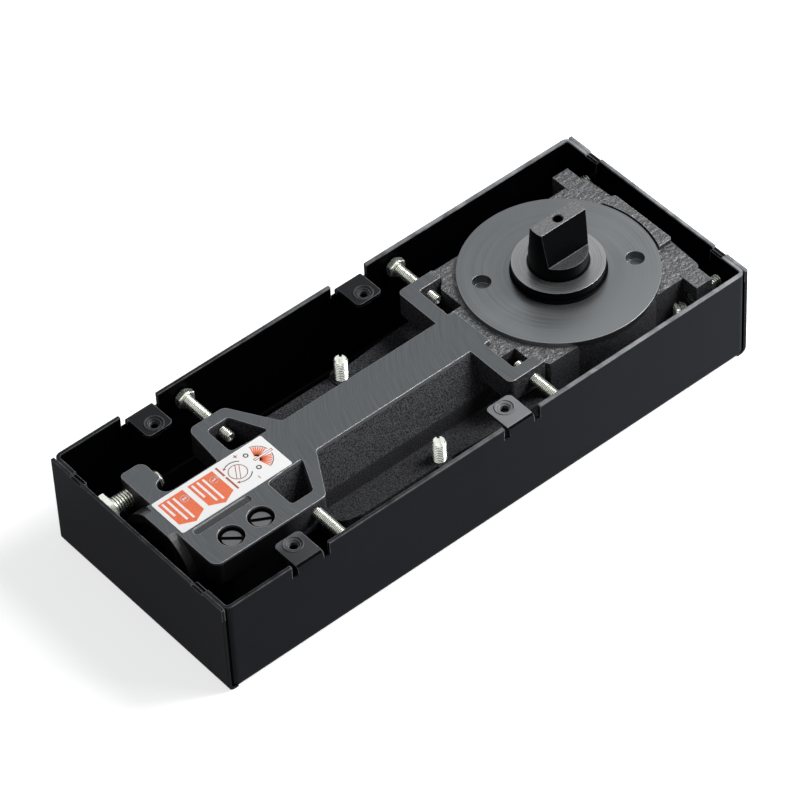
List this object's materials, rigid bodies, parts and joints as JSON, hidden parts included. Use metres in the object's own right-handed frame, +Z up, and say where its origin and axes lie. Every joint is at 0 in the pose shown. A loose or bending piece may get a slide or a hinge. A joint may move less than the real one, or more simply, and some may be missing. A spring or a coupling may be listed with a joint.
{
  "type": "floor spring door closer",
  "caption": "Floor spring door closer: cast hydraulic body with a tapered-flat spindle, set in an open folded steel cement box by side, end and levelling screws.",
  "frame": {"origin": "middle of the cement box's plan, on its underside", "axes": "+X along the box towards the spindle end, +Y towards the far long wall (the speed valves are on the -Y side), +Z up out of the floor"},
  "size_m": [0.277, 0.11, 0.0747],
  "materials": {
    "box_paint": "black satin powder coat",
    "casting": "blackened cast iron, top face machined and brushed",
    "machined_cover": "turned face, dark satin",
    "machined_collar": "turned, dark satin",
    "spindle_steel": "blackened steel, ground top",
    "steel_parts": "ground steel",
    "bright_steel": "polished bearing steel",
    "valve_steel": "dark turned steel",
    "plug_steel": "blackened steel",
    "spring_steel": "oil-tempered wire",
    "zinc_screws": "bright zinc plate, slightly yellow",
    "bronze": "sintered bronze",
    "rubber": "black, matt",
    "label": "white printed film"
  },
  "bodies": {
    "frame": {"cement_box": "box_paint", "closer_body": "casting", "bearing_cover": "machined_cover", "spindle_collar": "machined_collar", "upper_bearing_outer_ring": "steel_parts", "lower_bearing_bush": "bronze", "thrust_washer": "bronze", "shaft_seal": "rubber", "cover_o_ring": "rubber", "closing_spring": "spring_steel", "spring_seat": "steel_parts", "end_plug": "plug_steel", "end_plug_o_ring": "rubber", "adjustment_label": "label"},
    "spindle": {"spindle": "spindle_steel", "heart_cam": "steel_parts", "cam_key": "steel_parts", "upper_bearing_inner_ring": "steel_parts"},
    "ball_set": {"upper_bearing_balls": "bright_steel"},
    "piston": {"piston": "steel_parts", "piston_ring": "rubber", "check_valve_ball": "bright_steel", "check_valve_cage": "steel_parts", "roller_pin": "steel_parts"},
    "roller": {"cam_roller": "steel_parts"},
    "closing_valve": {"closing_speed_valve": "valve_steel", "closing_valve_o_ring": "rubber"},
    "latch_valve": {"latch_speed_valve": "valve_steel", "latch_valve_o_ring": "rubber"},
    "side_screw_front_far_body": {"side_screw_front_far": "zinc_screws"},
    "side_screw_front_near_body": {"side_screw_front_near": "zinc_screws"},
    "side_screw_rear_far_body": {"side_screw_rear_far": "zinc_screws"},
    "side_screw_rear_near_body": {"side_screw_rear_near": "zinc_screws"},
    "end_screw_front_body": {"end_screw_front": "zinc_screws"},
    "end_screw_rear_far_body": {"end_screw_rear_far": "zinc_screws"},
    "end_screw_rear_near_body": {"end_screw_rear_near": "zinc_screws"},
    "levelling_screw_mid_far_body": {"levelling_screw_mid_far": "zinc_screws"},
    "levelling_screw_mid_near_body": {"levelling_screw_mid_near": "zinc_screws"},
    "levelling_screw_rear_far_body": {"levelling_screw_rear_far": "zinc_screws"},
    "levelling_screw_rear_near_body": {"levelling_screw_rear_near": "zinc_screws"}
  },
  "joints": [
    {"name": "spindle_turn", "type": "hinge", "parent": "frame", "child": "spindle", "pos_m": [0.0831, 0, 0.045], "axis": [0, 0, 1], "range_deg": [0, 130], "stiffness_Nm_per_rad": 8, "springref_deg": -57.3},
    {"name": "ball_set_turn", "type": "hinge", "parent": "frame", "child": "ball_set", "pos_m": [0.0831, 0, 0.0425], "axis": [0, 0, 1], "range_deg": [0, 60]},
    {"name": "piston_slide", "type": "slide", "parent": "frame", "child": "piston", "axis": [-1, 0, 0], "range_m": [0, 0.0121], "deforming": ["closing_spring"]},
    {"name": "roller_turn", "type": "hinge", "parent": "piston", "child": "roller", "pos_m": [0.0591, 0, 0.025], "axis": [0, 0, 1], "range_deg": [-310, 0]},
    {"name": "closing_valve_turn", "type": "hinge", "parent": "frame", "child": "closing_valve", "pos_m": [-0.1093, -0.0238, 0.0428], "axis": [0, 0, 1], "range_deg": [-270, 270]},
    {"name": "latch_valve_turn", "type": "hinge", "parent": "frame", "child": "latch_valve", "pos_m": [-0.0944, -0.0238, 0.0428], "axis": [0, 0, 1], "range_deg": [-270, 270]},
    {"name": "side_screw_front_far_turn", "type": "hinge", "parent": "frame", "child": "side_screw_front_far_body", "pos_m": [-0.0732, 0.045, 0.039], "axis": [0, -1, 0], "range_deg": [-360, 360]},
    {"name": "side_screw_front_near_turn", "type": "hinge", "parent": "frame", "child": "side_screw_front_near_body", "pos_m": [-0.0732, -0.045, 0.039], "axis": [0, 1, 0], "range_deg": [-360, 360]},
    {"name": "side_screw_rear_far_turn", "type": "hinge", "parent": "frame", "child": "side_screw_rear_far_body", "pos_m": [0.0385, 0.045, 0.039], "axis": [0, -1, 0], "range_deg": [-360, 360]},
    {"name": "side_screw_rear_near_turn", "type": "hinge", "parent": "frame", "child": "side_screw_rear_near_body", "pos_m": [0.0385, -0.045, 0.039], "axis": [0, 1, 0], "range_deg": [-360, 360]},
    {"name": "end_screw_front_turn", "type": "hinge", "parent": "frame", "child": "end_screw_front_body", "pos_m": [-0.1269, 0.026, 0.0365], "axis": [1, 0, 0], "range_deg": [-360, 360]},
    {"name": "end_screw_rear_far_turn", "type": "hinge", "parent": "frame", "child": "end_screw_rear_far_body", "pos_m": [0.1281, 0.0403, 0.034], "axis": [-1, 0, 0], "range_deg": [-360, 360]},
    {"name": "end_screw_rear_near_turn", "type": "hinge", "parent": "frame", "child": "end_screw_rear_near_body", "pos_m": [0.1281, -0.0403, 0.034], "axis": [-1, 0, 0], "range_deg": [-360, 360]},
    {"name": "levelling_screw_mid_far_turn", "type": "hinge", "parent": "frame", "child": "levelling_screw_mid_far_body", "pos_m": [-0.0089, 0.031, 0.033], "axis": [0, 0, -1], "range_deg": [-360, 360]},
    {"name": "levelling_screw_mid_near_turn", "type": "hinge", "parent": "frame", "child": "levelling_screw_mid_near_body", "pos_m": [-0.0089, -0.031, 0.033], "axis": [0, 0, -1], "range_deg": [-360, 360]},
    {"name": "levelling_screw_rear_far_turn", "type": "hinge", "parent": "frame", "child": "levelling_screw_rear_far_body", "pos_m": [0.1141, 0.04, 0.033], "axis": [0, 0, -1], "range_deg": [-360, 360]},
    {"name": "levelling_screw_rear_near_turn", "type": "hinge", "parent": "frame", "child": "levelling_screw_rear_near_body", "pos_m": [0.1141, -0.04, 0.033], "axis": [0, 0, -1], "range_deg": [-360, 360]}
  ],
  "couplings": [
    {"joint": "piston_slide", "follows": "spindle_turn", "m_per_rad": 0.0052888},
    {"joint": "ball_set_turn", "follows": "spindle_turn", "ratio": 0.44194},
    {"joint": "roller_turn", "follows": "spindle_turn", "ratio": -2.3333}
  ]
}
